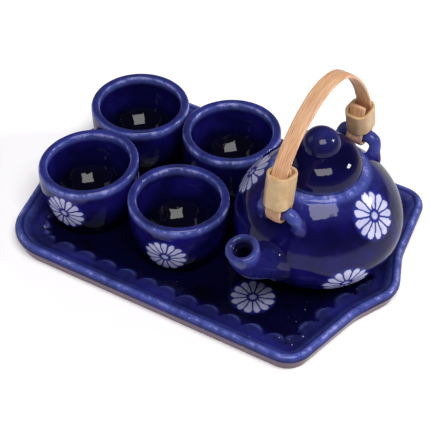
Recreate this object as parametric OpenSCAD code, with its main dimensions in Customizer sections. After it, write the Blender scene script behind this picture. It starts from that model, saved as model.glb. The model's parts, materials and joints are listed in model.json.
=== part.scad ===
// Miniature tea set: four handleless cups and a teapot with a cane bail handle, on a
// bracket-ended tray. Millimetres, +Z up, +X along the tray towards the teapot.
// The origin is the middle of the tray's flat underside.

/* [Tray] */
// Length over the crest of the rim, from the tip of one end lobe to the other
tray_l = 99.6; // [90:0.1:110]
// Width over the crest of the rim
tray_w = 67.3; // [60:0.1:75]
// Height of the rim above the surface that the tray stands on
tray_h = 5.0; // [4.5:0.1:6]
// Thickness of the tray's floor
tray_floor = 2.4; // [1.8:0.1:3]
// Corner radius at the teapot's end
corner_r = 5.5; // [5:0.1:7]
// Corner radius at the cups' end, which was pressed rounder
corner_r_left = 11; // [9:0.1:12]

/* [Cups] */
// Outer diameter of a cup's rim
cup_d = 25.4; // [23:0.1:25.8]
// Height of a cup
cup_h = 16.4; // [14:0.1:18]
// Diameter of a cup's foot
cup_foot_d = 17; // [15:0.1:19]
// Wall thickness of a cup at its rim
cup_wall = 2.2; // [1.8:0.1:2.6]

/* [Teapot] */
// Largest outer diameter of the body
pot_d = 41.8; // [40:0.1:42.5]
// Height of the widest level above the foot
pot_belly_z = 13.9; // [13:0.1:15]
// Height of the collar that the lid sits on
pot_collar_z = 29; // [28.8:0.1:29.2]
// Wall thickness of the body
pot_wall = 2.3; // [2:0.1:2.6]
// Radius of the mouth
mouth_r = 8.4; // [8.2:0.1:8.6]
// Place of the teapot's axis on the tray, along X
pot_x = 27.2; // [26.8:0.1:28.5]
// Place of the teapot's axis on the tray, along Y
pot_y = 2.6; // [0:0.1:4]
// Turn of the teapot about its axis, in degrees
pot_turn = -5; // [-8:1:0]

/* [Spout] */
// Outer radius of the spout
spout_r = 4; // [3.8:0.1:4.2]
// Radius of the pouring channel
spout_bore_r = 1.8; // [1.6:0.1:1.9]
// Radius of the spout's upward bend
spout_bend_r = 18; // [17:0.5:19]
// Distance of the spout's mouth from the teapot's axis
spout_reach = 32; // [31:0.1:33]
// Height of the spout's mouth above the foot
spout_z = 26.6; // [26:0.1:27.5]

/* [Lid] */
// Radius of the lid
lid_r = 10.3; // [10:0.1:10.6]
// Height of the dome
lid_dome_h = 7.5; // [7:0.1:8]
// Radius of the round knob
knob_r = 4.9; // [4.5:0.1:5.2]

/* [Bail handle] */
// Distance of each lug's bar from the teapot's axis
lug_s = 17.4; // [17.3:0.1:17.6]
// Height of the lugs' bars above the foot
lug_z = 28.3; // [28.2:0.1:28.6]
// Radius of a lug's bar and legs
lug_bar_r = 1.6; // [1.4:0.1:1.6]
// Width of the cane strip
strip_w = 4.2; // [3.8:0.1:4.4]
// Thickness of the cane strip
strip_t = 1.0; // [0.8:0.1:1]
// Length of the front ferrule
ferrule_front_l = 9; // [8:0.5:11]
// Length of the rear ferrule
ferrule_rear_l = 6; // [6:0.5:9]

/* [Hidden] */
$fn = 72;
eps = 0.01;

cobalt = "#1f1f78";
cobalt_light = "#34349a";
cane = "#dca678";
sleeve = "#cda873";

// ---- Tray: one rim section carried round a bracket outline of lines and arcs ----

rim_r = 1.3;                         // radius of the rolled edge
rim_z = tray_h - rim_r;              // height of the rolled edge's centre
rim_in = 4.3;                        // how far the inner slope runs in from the crest
arc_step = 8;                        // longest step along an arc, in degrees
lobe_r = 8;                          // end lobe, an arc
lobe_turn = 24;                      // half of the lobe's arc, in degrees
flank_tilt = 11;                     // slant of the end's flanks from square
hollow_r = 20;                       // hollow curve between lobe and flank
lobe_run = 6.8;                      // straight run between lobe and hollow curve

// Half width from the middle line to where the slanted flank starts
flank_y0 = lobe_r * sin(lobe_turn) + lobe_run * cos(lobe_turn)
    + hollow_r * (sin(lobe_turn) - sin(flank_tilt));
// Distance from the lobe's tip in to the same place
flank_x0 = lobe_r * (1 - cos(lobe_turn)) + lobe_run * sin(lobe_turn)
    + hollow_r * (cos(flank_tilt) - cos(lobe_turn));

function flank_len(r) = (tray_w / 2 - r * (1 - sin(flank_tilt)) - flank_y0) / cos(flank_tilt);
// Distance from the middle of the tray to where an end's corner arc meets the long side
function side_len(r) = tray_l / 2 - flank_x0 - flank_len(r) * sin(flank_tilt)
    - r * cos(flank_tilt);

// Each step is [radius, turn] for an arc, positive to the left, or [length, 0] for a line
function end_steps(r1, r2) = [
    [r1, 90 - flank_tilt], [flank_len(r1), 0], [hollow_r, flank_tilt - lobe_turn],
    [lobe_run, 0], [lobe_r, 2 * lobe_turn], [lobe_run, 0],
    [hollow_r, flank_tilt - lobe_turn], [flank_len(r2), 0], [r2, 90 - flank_tilt]];
STEPS = concat(
    [[side_len(corner_r), 0]], end_steps(corner_r, corner_r),
    [[side_len(corner_r) + side_len(corner_r_left), 0]],
    end_steps(corner_r_left, corner_r_left), [[side_len(corner_r_left), 0]]);

// A state is [x, y, heading]; a step carries it on along its line or arc
function step_on(s, step) = step[1] == 0
    ? [s[0] + step[0] * cos(s[2]), s[1] + step[0] * sin(s[2]), s[2]]
    : let (k = sign(step[1]), h2 = s[2] + step[1])
      [s[0] + k * step[0] * (sin(h2) - sin(s[2])),
       s[1] - k * step[0] * (cos(h2) - cos(s[2])), h2];
function walk(i) = i == 0 ? [0, -tray_w / 2, 0] : step_on(walk(i - 1), STEPS[i - 1]);
STATES = [for (i = [0 : len(STEPS) - 1]) walk(i)];

// Points of the outline, moved outwards by d, with an arc point every few degrees
function outline(d) = [for (i = [0 : len(STEPS) - 1])
    let (s = STATES[i], step = STEPS[i], n = step[1] == 0 ? 1 : ceil(abs(step[1]) / arc_step))
    for (j = [0 : n - 1])
        let (q = j == 0 ? s : step_on(s, [step[0], step[1] * j / n]))
        [q[0] + d * sin(q[2]), q[1] - d * cos(q[2])]];

// The rim's section from the foot, over the rolled edge and down to the floor, as
// [distance outwards from the crest, height]
SECTION = concat(
    [[-0.3, 0], [0.05, 0.3]],
    [for (a = [-30 : 20 : 130]) [rim_r * cos(a), rim_z + rim_r * sin(a)]],
    [[-2.2, tray_floor + 1.15], [-3.4, tray_floor + 0.35], [-rim_in, tray_floor]]);

module tray() color(cobalt) {
    rings = [for (q = SECTION) [for (p = outline(q[0])) [p[0], p[1], q[1]]]];
    n = len(rings[0]);
    last = (len(rings) - 1) * n;
    under = len(rings) * n;          // middle of the underside, then middle of the floor
    polyhedron(
        points = concat([for (ring = rings) each ring], [[0, 0, 0], [0, 0, tray_floor]]),
        faces = [
            for (i = [0 : n - 1]) let (j = (i + 1) % n) each [
                [under, i, j], [under + 1, last + j, last + i],
                for (k = [0 : n : last - n]) each [
                    [k + i, k + i + n, k + j], [k + j, k + i + n, k + j + n]]]]);
}

// ---- Turned shapes: superellipse quarters sampled as profile points ----

function bow(a, b, n, u) = [a * pow(cos(u), 2 / n), b * pow(sin(u), 2 / n)];
// The parameter at which a quarter of height b and power n reaches height h
function bow_end(b, n, h) = asin(pow(min(1, h / b), n / 2));

// ---- Cups ----

CUPS = [[-31.8, 13.4], [-30.4, -12.6], [-3.9, -12.2], [-5.8, 16.5]];
cup_steps = 12;
cup_foot_rise = 0.8;                 // hollow under the foot
cup_floor = 2.6;                     // thickness of the cup's floor
cup_power = 2.1;
cup_bevel = 3;                       // the profile starts here, above a bevel round the foot

module cup_outside() {
    r_rim = cup_d / 2 - cup_wall / 2;
    grow = cup_d / 2 - cup_foot_d / 2;
    rotate_extrude() union() {
        polygon(concat([[0, 0], [cup_foot_d / 2, 0]], [for (i = [cup_bevel : cup_steps])
            let (q = bow(grow, cup_h - cup_wall / 2, cup_power, 90 * (1 - i / cup_steps)))
            [cup_foot_d / 2 + q[0], cup_h - cup_wall / 2 - q[1]]],
            [[r_rim, cup_h - cup_wall / 2], [0, cup_h - cup_wall / 2]]));
        translate([r_rim, cup_h - cup_wall / 2]) circle(d = cup_wall);
    }
}

module cup_inside() {
    r_in = cup_d / 2 - cup_wall;
    h_in = cup_h - cup_wall / 2 - cup_floor;
    rotate_extrude() polygon(concat(
        [for (i = [0 : cup_steps])
            let (q = bow(r_in, h_in, 2.5, 90 * (1 - i / cup_steps)))
            [q[0], cup_floor + h_in - q[1]]],
        [[r_in, cup_h + 1], [0, cup_h + 1]]));
}

module cup(i) color(cobalt) translate([CUPS[i][0], CUPS[i][1], tray_floor]) difference() {
    cup_outside();
    cup_inside();
    translate([0, 0, -1]) cylinder(r = cup_foot_d / 2 - 1.6, h = 1 + cup_foot_rise);
}

// ---- Teapot body ----

pot_r = pot_d / 2;
pot_steps = 12;
upper_b = 18.55;                     // height of the shoulder's full quarter
upper_n = 1.83;
lower_b = 16.68;                     // height of the belly's full quarter
lower_n = 1.91;
collar_w = 0.5;                      // height of the flat collar band
pot_floor = 2.6;

module pot_place() translate([pot_x, pot_y, tray_floor]) rotate(pot_turn) children();

// Profile of the body, drawn in by w all round, between heights z0 and z1
function pot_profile(w, z0, z1) =
    let (u0 = bow_end(lower_b - w, lower_n, pot_belly_z - z0),
         u1 = bow_end(upper_b - w, upper_n, z1 - pot_belly_z))
    concat(
        [for (i = [0 : pot_steps])
            let (q = bow(pot_r - w, lower_b - w, lower_n, u0 * (1 - i / pot_steps)))
            [q[0], pot_belly_z - q[1]]],
        [for (i = [1 : pot_steps])
            let (q = bow(pot_r - w, upper_b - w, upper_n, u1 * i / pot_steps))
            [q[0], pot_belly_z + q[1]]]);

module pot_outside() rotate_extrude() polygon(concat(
    [[0, 0]], pot_profile(0, 0, pot_collar_z - collar_w),
    [[lid_r + 0.6, pot_collar_z - collar_w], [lid_r + 0.6, pot_collar_z], [0, pot_collar_z]]));

module pot_inside() {
    top = pot_collar_z - collar_w - 0.6;
    rotate_extrude() polygon(concat(
        [[0, pot_floor]], pot_profile(pot_wall, pot_floor, top - 0.6),
        [[mouth_r, top], [mouth_r, pot_collar_z + 1], [0, pot_collar_z + 1]]));
}

module teapot_body() color(cobalt) pot_place() difference() {
    pot_outside();
    pot_inside();
    translate([0, 0, -1]) cylinder(r = 8.6, h = 1.8);
    spout_channel();
}

// ---- Spout: a straight root, then a bend that ends nearly upright; it points along -Y ----

spout_root_tilt = 20;                // heading of the root above level, in degrees
spout_end_tilt = 74;                 // heading at the mouth
spout_root_l = 9;
lip_r = 0.85;
lip_at = spout_r - lip_r + 0.1;       // radius of the lip's ring, which stands a little proud

module spout_path(r) {
    turn = spout_end_tilt - spout_root_tilt;
    // The bend's centre lies above and inside the curve
    cy = spout_reach - spout_bend_r * sin(spout_end_tilt);
    cz = spout_z + spout_bend_r * cos(spout_end_tilt);
    rotate(-90) rotate([90, 0, 0]) translate([cy, cz, 0]) {
        rotate(-90 + spout_root_tilt) rotate_extrude(angle = turn)
            translate([spout_bend_r, 0]) circle(r = r);
        rotate(-90 + spout_root_tilt) translate([spout_bend_r, 0, 0])
            rotate([90, 0, 0]) cylinder(r = r, h = spout_root_l);
    }
}

// Places its children at the spout's mouth, with their +Z out of it
module at_spout_mouth() translate([0, -spout_reach, spout_z])
    rotate([90 - spout_end_tilt, 0, 0]) children();

module spout_channel() spout_path(spout_bore_r);

module teapot_spout() color(cobalt_light) pot_place() difference() {
    union() {
        spout_path(spout_r);
        at_spout_mouth() {
            cylinder(r = lip_at, h = lip_r);
            rotate_extrude() translate([lip_at, 0]) circle(r = lip_r);
        }
    }
    pot_outside();
    spout_channel();
    at_spout_mouth() translate([0, 0, -1.4])
        cylinder(r1 = spout_bore_r - 0.3, r2 = lip_at - 0.2, h = 1.5 + lip_r);
}

// ---- Lugs: a level bar on two legs, luted to the shoulder ----

lug_leg = 5.0;                       // distance of each leg from the bar's middle
lug_bend = 2.4;                      // radius of the bend from bar to leg
lug_leg_h = 7;                       // height of each leg below its bend, mostly sunk

module lug(side) color(cobalt_light) pot_place() difference() {
    translate([0, side * lug_s, lug_z]) {
        translate([-(lug_leg - lug_bend), 0, 0]) rotate([0, 90, 0])
            cylinder(r = lug_bar_r, h = 2 * (lug_leg - lug_bend));
        for (k = [0, 1]) mirror([k, 0, 0]) translate([lug_leg - lug_bend, 0, -lug_bend]) {
            rotate([90, 0, 0]) rotate_extrude(angle = 90)
                translate([lug_bend, 0]) circle(r = lug_bar_r);
            translate([lug_bend, 0, -lug_leg_h]) cylinder(r = lug_bar_r, h = lug_leg_h);
        }
    }
    pot_outside();
}

// ---- Lid ----

lid_power = 2.5;
lid_wall = 2.2;
flange_r = mouth_r - 0.3;
flange_h = 2.4;
knob_z = lid_dome_h - 0.5;           // height of the knob's centre above the collar

module lid_shape(r, h) rotate_extrude() polygon(concat([[0, 0]],
    [for (i = [0 : pot_steps]) bow(r, h, lid_power, 90 * i / pot_steps)]));

module lid_dome() color(cobalt) pot_place() translate([0, 0, pot_collar_z]) difference() {
    union() {
        lid_shape(lid_r, lid_dome_h);
        translate([0, 0, -flange_h]) cylinder(r = flange_r, h = flange_h + eps);
    }
    translate([0, 0, -eps]) lid_shape(flange_r - 1.4, lid_dome_h - lid_wall);
    translate([0, 0, -flange_h - 1]) cylinder(r = flange_r - 1.4, h = flange_h + 1);
}

module lid_knob() color(cobalt_light) pot_place() translate([0, 0, pot_collar_z]) difference() {
    translate([0, 0, knob_z]) sphere(r = knob_r);
    lid_shape(lid_r, lid_dome_h);
    translate([0, 0, -1]) cylinder(r = knob_r, h = knob_z);
}

// ---- Bail handle: a cane strip folded round both bars, its ends held by sleeves ----

loop_gap = 0.35;                     // play between strip and bar
loop_r = lug_bar_r + loop_gap + strip_t / 2;
side_r = 28.6;                       // radius of the arch's sides, which start at the bars
side_turn = 56;                      // how far each side turns before the crown takes over
side_c = lug_s + loop_r - side_r;    // centre of a side arc, along Y
crown_r = side_r + side_c / cos(side_turn);
crown_c = (side_r - crown_r) * sin(side_turn);
arch_skew = 2.4;                     // how far the arch's top leans to the rear, as it was bent
tail_h = 1.2;                        // how far the folded end stands above its sleeve
sleeve_z = lug_bar_r + 0.6;          // foot of each sleeve above the bar's middle
sleeve_wall = 0.85;
sleeve_w = strip_w + 0.5;            // inner width of a sleeve
sleeve_in = loop_r - strip_t / 2 - 0.25;
sleeve_spare = 1.4;                  // room for the folded end, inwards of the fold's inside
sleeve_out = loop_r + strip_t / 2 + 0.2;
sleeve_tilt = 9;                     // the sleeves lean in with the arch, in degrees

// A bend of the strip in the handle's plane, about the point [y, z]
module strip_bend(y, z, r, from, turn) translate([0, y, z]) rotate([90, 0, 90]) rotate(from)
    rotate_extrude(angle = turn) translate([r, 0]) square([strip_t, strip_w], center = true);

// Leans a point of the arch to the rear, more the higher it stands
function skewed(q) = [q[0] + arch_skew * pow(q[1] / (crown_c + crown_r), 3), q[1]];

// The arch as [y, z] points from beside the rear bar to beside the front bar, moved
// outwards by d
function arch(d) = [for (q = concat(
    [for (a = [0 : 4 : side_turn])
        [side_c + (side_r + d) * cos(a), (side_r + d) * sin(a)]],
    [for (a = [side_turn + 4 : 4 : 176 - side_turn])
        [(crown_r + d) * cos(a), crown_c + (crown_r + d) * sin(a)]],
    [for (a = [180 - side_turn : 4 : 180])
        [-side_c + (side_r + d) * cos(a), (side_r + d) * sin(a)]])) skewed(q)];

// The fold round the rear bar, and the end that runs back up through its sleeve
module folded_end(sleeve_l) {
    strip_bend(lug_s, 0, loop_r, 180, 180);
    translate([-strip_w / 2, lug_s - loop_r - strip_t / 2, 0])
        cube([strip_w, strip_t, sleeve_z + sleeve_l + tail_h]);
}

module handle_strip() color(cane) pot_place() translate([0, 0, lug_z]) {
    inner = arch(-strip_t / 2);
    rotate([90, 0, 90]) linear_extrude(strip_w, center = true)
        polygon(concat(arch(strip_t / 2), [for (i = [len(inner) - 1 : -1 : 0]) inner[i]]));
    folded_end(ferrule_rear_l);
    rotate(180) folded_end(ferrule_front_l);
}

// A rounded rectangle from x0 to x1 and of width w, with corner radius r
module rounded(x0, x1, w, r) union() {
    for (x = [x0 + r, x1 - r]) for (y = [r - w / 2, w / 2 - r])
        translate([x, y]) circle(r = r);
    translate([x0 + r, -w / 2]) square([x1 - x0 - 2 * r, w]);
    translate([x0, r - w / 2]) square([x1 - x0, w - 2 * r]);
}

module ferrule(side, l) color(sleeve) pot_place() translate([0, 0, lug_z])
    rotate(side < 0 ? 180 : 0) translate([0, lug_s, sleeve_z]) rotate([sleeve_tilt, 0, 0])
        rotate(90) linear_extrude(l) difference() {
            rounded(-sleeve_in - sleeve_spare - sleeve_wall, sleeve_out + sleeve_wall,
                sleeve_w + 2 * sleeve_wall, 2.6);
            rounded(-sleeve_in - sleeve_spare, sleeve_out, sleeve_w, 0.4);
        }

tray();
cup(0);  // cup_back_left
cup(1);  // cup_front_left
cup(2);  // cup_front_right
cup(3);  // cup_back_right
teapot_body();
teapot_spout();
lug(-1);  // lug_front
lug(1);  // lug_rear
lid_dome();
lid_knob();
handle_strip();
ferrule(-1, ferrule_front_l);  // ferrule_front
ferrule(1, ferrule_rear_l);  // ferrule_rear
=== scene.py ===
"""Looks of a miniature tea set: four cups and a lidded teapot with a cane bail, on a tray.

Every length is in metres. Each class below makes one sub-assembly out of surfaces that are
functions of two parameters, and dresses it in a procedural finish.
"""

import json
import logging
import math
from dataclasses import dataclass, field
from enum import Enum

import bpy
import numpy as np
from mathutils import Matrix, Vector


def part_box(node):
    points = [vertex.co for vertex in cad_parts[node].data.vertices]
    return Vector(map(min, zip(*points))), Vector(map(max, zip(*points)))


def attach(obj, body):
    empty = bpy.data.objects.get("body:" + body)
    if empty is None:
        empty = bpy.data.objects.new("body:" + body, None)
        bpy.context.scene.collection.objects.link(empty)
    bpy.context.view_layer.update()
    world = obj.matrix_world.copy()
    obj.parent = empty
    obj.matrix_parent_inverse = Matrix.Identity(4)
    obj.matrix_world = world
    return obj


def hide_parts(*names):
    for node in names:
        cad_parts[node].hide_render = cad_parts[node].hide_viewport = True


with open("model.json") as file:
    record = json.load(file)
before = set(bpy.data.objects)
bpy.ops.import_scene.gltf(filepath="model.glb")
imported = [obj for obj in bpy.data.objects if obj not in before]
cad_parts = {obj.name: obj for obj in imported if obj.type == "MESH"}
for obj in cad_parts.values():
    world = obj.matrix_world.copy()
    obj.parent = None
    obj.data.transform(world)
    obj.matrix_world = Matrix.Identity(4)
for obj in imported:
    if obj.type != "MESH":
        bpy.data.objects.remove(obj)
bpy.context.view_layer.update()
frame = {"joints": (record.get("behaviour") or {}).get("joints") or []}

LOG = logging.getLogger("tea_set")
MM = 0.001
Array = np.ndarray
Socket = bpy.types.NodeSocket
Piece = bpy.types.Object
Colour = tuple[float, float, float]


# ---------------------------------------------------------------- shapes


def smooth(x: Array, low: float, high: float) -> Array:
    """Cubic ease from 0 at low to 1 at high."""
    t = np.clip((x - low) / (high - low), 0, 1)
    return t * t * (3 - 2 * t)


def quarter(a: float, b: float, power: float, u: Array) -> Array:
    """Superellipse quarter: (a cos(u)^(2/power), b sin(u)^(2/power)).

    Args:
        a: Half width.
        b: Half height.
        power: 2 for an ellipse, more for a squarer curve.
        u: Parameter in radians, from 0 to half pi.

    Returns:
        One row of (across, up) for each value of u.
    """
    c, s = np.clip(np.cos(u), 0, 1), np.clip(np.sin(u), 0, 1)
    return np.stack([a * c ** (2 / power), b * s ** (2 / power)], axis=1)


def end_of_quarter(b: float, power: float, height: float) -> float:
    """The parameter at which a quarter of height b reaches the given height."""
    return math.asin(min(1.0, height / b) ** (power / 2))


def resample(line: Array, step: float) -> Array:
    """Points at even arc length along an open line, about step apart.

    Args:
        line: Points, one a row.
        step: Distance wanted between new points.

    Returns:
        The new points, with the same first and last point.
    """
    gap = np.linalg.norm(np.diff(line, axis=0), axis=1)
    at = np.concatenate([[0], np.cumsum(gap)])
    new = np.linspace(0, at[-1], max(2, int(round(at[-1] / step)) + 1))
    return np.stack([np.interp(new, at, line[:, k]) for k in range(line.shape[1])], axis=1)


def lofted(
    name: str,
    rings: Array,
    caps: bool = True,
    thin: Array | None = None,
    pool: Array | None = None,
    grain: Array | None = None,
) -> Piece:
    """A closed mesh through rings of points that each run once round.

    Face (i, j) joins ring i to ring i + 1. With caps, a fan closes each end; without them,
    the last ring joins the first, as on a tube bent back on itself.

    Args:
        name: The piece's name.
        rings: Array of shape (rings, points, 3).
        caps: True to close both ends, False to join the ends.
        thin: How thin the glaze lies, 0 to 1, for each point of each ring; values below 0 mark a
            painted reflection.
        pool: How deep the glaze pools, 0 to 1, for each point of each ring.
        grain: (along, across) in metres for each point, for finishes that have a grain.

    Returns:
        The linked object, smooth shaded.
    """
    m, n = rings.shape[:2]
    index = np.arange(m * n).reshape(m, n)
    ahead = np.roll(index, -1, axis=1)
    above = index[1:] if caps else np.roll(index, -1, axis=0)
    above_ahead = ahead[1:] if caps else np.roll(ahead, -1, axis=0)
    low = slice(0, m - 1) if caps else slice(0, m)
    quads = np.stack([index[low], ahead[low], above_ahead, above], axis=2).reshape(-1, 4)
    points = rings.reshape(-1, 3)
    faces = quads.tolist()
    if caps:
        first, last = m * n, m * n + 1
        points = np.vstack([points, rings[0].mean(axis=0), rings[-1].mean(axis=0)])
        start = np.stack([np.full(n, first), ahead[0], index[0]], axis=1)
        end = np.stack([np.full(n, last), index[-1], ahead[-1]], axis=1)
        faces += start.tolist() + end.tolist()
    mesh = bpy.data.meshes.new(name)
    mesh.from_pydata(points.tolist(), [], faces)
    mesh.polygons.foreach_set("use_smooth", np.ones(len(mesh.polygons), bool))
    extra = len(points) - m * n
    for key, layer in (("thin", thin), ("pool", pool)):
        if layer is not None:
            values = np.concatenate([layer.ravel(), layer[0, :1], layer[-1, :1]])
            values = values[: len(points)].astype(np.float32)
            mesh.attributes.new(key, "FLOAT", "POINT").data.foreach_set("value", values)
    if grain is not None:
        flat = np.concatenate([grain.reshape(-1, 2), np.zeros((extra, 2))])
        vectors = np.column_stack([flat, np.zeros(len(flat))]).astype(np.float32)
        mesh.attributes.new("grain", "FLOAT_VECTOR", "POINT").data.foreach_set(
            "vector", vectors.ravel()
        )
    mesh.update()
    piece = bpy.data.objects.new(name, mesh)
    bpy.context.scene.collection.objects.link(piece)
    return piece


def turned(profile: Array, around: int, wobble: float, seed: float) -> Array:
    """Rings of a shape turned about the upright axis, a little out of round.

    A ring's radius is r (1 + wobble (sin(2a + seed) + 0.6 sin(3a + 2 seed))), at angle a.

    Args:
        profile: Rows of (radius, height), from the underside's middle outwards and over.
        around: Points in each ring.
        wobble: Share of the radius by which the hand-made shape is out of round.
        seed: Shifts the wobble, so that no two pieces match.

    Returns:
        Array of shape (rows, around, 3).
    """
    a = np.linspace(0, 2 * math.pi, around, endpoint=False)
    stretch = 1 + wobble * (np.sin(2 * a + seed) + 0.6 * np.sin(3 * a + 2 * seed))
    r = profile[:, :1] * stretch
    return np.stack([r * np.cos(a), r * np.sin(a), np.repeat(profile[:, 1:], around, 1)], 2)


@dataclass(frozen=True)
class Place:
    """A spot on the tray: a piece's own axis and foot, and how far it is turned."""

    x: float
    y: float
    z: float
    turn: float = 0.0

    def put(self, points: Array) -> Array:
        """Moves points from the piece's own frame into the shared frame."""
        c, s = math.cos(self.turn), math.sin(self.turn)
        x, y, z = points[..., 0], points[..., 1], points[..., 2]
        return np.stack([self.x + c * x - s * y, self.y + s * x + c * y, self.z + z], -1)

    @classmethod
    def under(cls, node: str, turn: float = 0.0) -> "Place":
        """The middle of a node's foot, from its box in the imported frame."""
        low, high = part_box(node)
        return cls((low.x + high.x) / 2, (low.y + high.y) / 2, low.z, turn)


def tube(centres: Array, side: Array, radius: Array, around: int) -> Array:
    """Rings of a round tube along a plane path.

    A ring's point at angle a is centre + radius (cos(a) side + sin(a) n), where n is the
    path's normal in its plane, square to side.

    Args:
        centres: Path points, in order.
        side: Unit vector square to the plane of the path.
        radius: Tube radius at each path point.
        around: Points in each ring.

    Returns:
        Array of shape (path points, around, 3).
    """
    ahead = np.gradient(centres, axis=0)
    ahead /= np.linalg.norm(ahead, axis=1, keepdims=True)
    normal = np.cross(ahead, side)
    a = np.linspace(0, 2 * math.pi, around, endpoint=False)
    spoke = np.cos(a)[None, :, None] * side + np.sin(a)[None, :, None] * normal[:, None, :]
    return centres[:, None, :] + radius[:, None, None] * spoke


# ---------------------------------------------------------------- finishes


class NodeBench:
    """Adds shader nodes to one tree and wires them together."""

    def __init__(self, tree: bpy.types.NodeTree) -> None:
        """Takes the tree to work on."""
        self.tree = tree

    def add(self, kind: str, **settings: object) -> bpy.types.Node:
        """Adds a node and sets its properties."""
        node = self.tree.nodes.new(kind)
        for key, value in settings.items():
            setattr(node, key, value)
        return node

    def feed(self, socket: Socket, value: object) -> None:
        """Links a socket to another, or sets its value."""
        if isinstance(value, bpy.types.NodeSocket):
            self.tree.links.new(value, socket)
        else:
            socket.default_value = value

    def math(self, operation: str, a: object, b: object = 0.0, clamp: bool = False) -> Socket:
        """A Math node of the given operation on a and b."""
        node = self.add("ShaderNodeMath", operation=operation, use_clamp=clamp)
        self.feed(node.inputs[0], a)
        self.feed(node.inputs[1], b)
        return node.outputs[0]

    def vector(self, operation: str, a: object, b: object) -> bpy.types.Node:
        """A Vector Math node of the given operation on a and b."""
        node = self.add("ShaderNodeVectorMath", operation=operation)
        self.feed(node.inputs[0], a)
        self.feed(node.inputs[1], b)
        return node

    def ease(self, value: object, low: object, high: object) -> Socket:
        """Smooth step from 0 at low to 1 at high."""
        node = self.add("ShaderNodeMapRange", interpolation_type="SMOOTHSTEP")
        self.feed(node.inputs["Value"], value)
        self.feed(node.inputs["From Min"], low)
        self.feed(node.inputs["From Max"], high)
        return node.outputs["Result"]

    def span(self, value: object, low: float, high: float) -> Socket:
        """Spreads a value from 0 to 1 evenly between low and high."""
        node = self.add("ShaderNodeMapRange")
        self.feed(node.inputs["Value"], value)
        self.feed(node.inputs["To Min"], low)
        self.feed(node.inputs["To Max"], high)
        return node.outputs["Result"]

    def mix(self, share: object, a: object, b: object) -> Socket:
        """Colour between a and b; colours are given as three numbers or as sockets."""
        node = self.add("ShaderNodeMix", data_type="RGBA")
        self.feed(node.inputs["Factor"], share)
        for socket, value in ((node.inputs[6], a), (node.inputs[7], b)):
            self.feed(socket, (*value, 1.0) if isinstance(value, tuple) else value)
        return node.outputs[2]

    def noise(self, point: Socket, scale: float, detail: float = 2.0, rough: float = 0.5) -> Socket:
        """Noise value at a point.

        Args:
            point: Where to read it.
            scale: Features per metre.
            detail: Octaves of finer noise.
            rough: Share that each octave keeps of the one before.

        Returns:
            The value, about 0 to 1.
        """
        node = self.add("ShaderNodeTexNoise")
        self.feed(node.inputs["Vector"], point)
        self.feed(node.inputs["Scale"], scale)
        self.feed(node.inputs["Detail"], detail)
        self.feed(node.inputs["Roughness"], rough)
        return node.outputs["Fac"]

    def bump(self, height: Socket, distance: float, strength: float) -> Socket:
        """Normal bent by a height of 0 to 1 that stands for the given distance."""
        node = self.add("ShaderNodeBump")
        self.feed(node.inputs["Height"], height)
        self.feed(node.inputs["Distance"], distance)
        self.feed(node.inputs["Strength"], strength)
        return node.outputs["Normal"]


def new_finish(name: str) -> tuple[bpy.types.Material, NodeBench, bpy.types.Node]:
    """A new material with its bench and its Principled shader."""
    material = bpy.data.materials.new(name)
    material.use_nodes = True
    bench = NodeBench(material.node_tree)
    return material, bench, material.node_tree.nodes["Principled BSDF"]


@dataclass(frozen=True)
class Daisy:
    """A painted daisy: its middle on the surface, the way it faces, and its size.

    Attributes:
        middle: The daisy's middle, in the shared frame.
        facing: Unit vector out of the surface there.
        radius: From the middle to a petal's tip.
        petals: How many petals.
        turn: Turn about its middle, in petals.
        strength: How white it was painted, 0 to 1.
    """

    middle: Colour
    facing: Colour
    radius: float = 5.8 * MM
    petals: int = 13
    turn: float = 0.0
    strength: float = 1.0

    def axes(self) -> tuple[Colour, Colour]:
        """Two unit vectors across and up the daisy, square to the way it faces."""
        n = np.array(self.facing) / np.linalg.norm(self.facing)
        level = np.array([0.0, 0.0, 1.0]) if abs(n[2]) < 0.9 else np.array([0.0, 1.0, 0.0])
        across = np.cross(level, n)
        across /= np.linalg.norm(across)
        return tuple(across), tuple(np.cross(n, across))


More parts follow.
